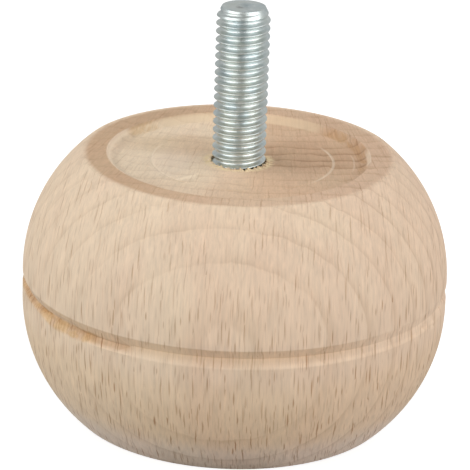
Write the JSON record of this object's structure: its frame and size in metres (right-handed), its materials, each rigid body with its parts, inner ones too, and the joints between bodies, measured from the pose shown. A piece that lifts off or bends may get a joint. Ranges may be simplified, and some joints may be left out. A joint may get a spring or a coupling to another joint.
{
  "type": "ball furniture foot",
  "caption": "Turned wooden ball foot with a waist groove and a recessed flat top, carrying a threaded steel stud that screws up into a piece of furniture.",
  "frame": {"origin": "centre of the flat base, on the surface that the foot stands on", "axes": "+Z along the turning axis, from the base up to the stud"},
  "size_m": [0.063, 0.063, 0.0625],
  "materials": {
    "beech": "bare sanded beech, with open grain flecks",
    "zinc_steel": "bright zinc plating"
  },
  "bodies": {
    "root": {"turned_ball": "beech", "threaded_stud": "zinc_steel"}
  },
  "joints": []
}
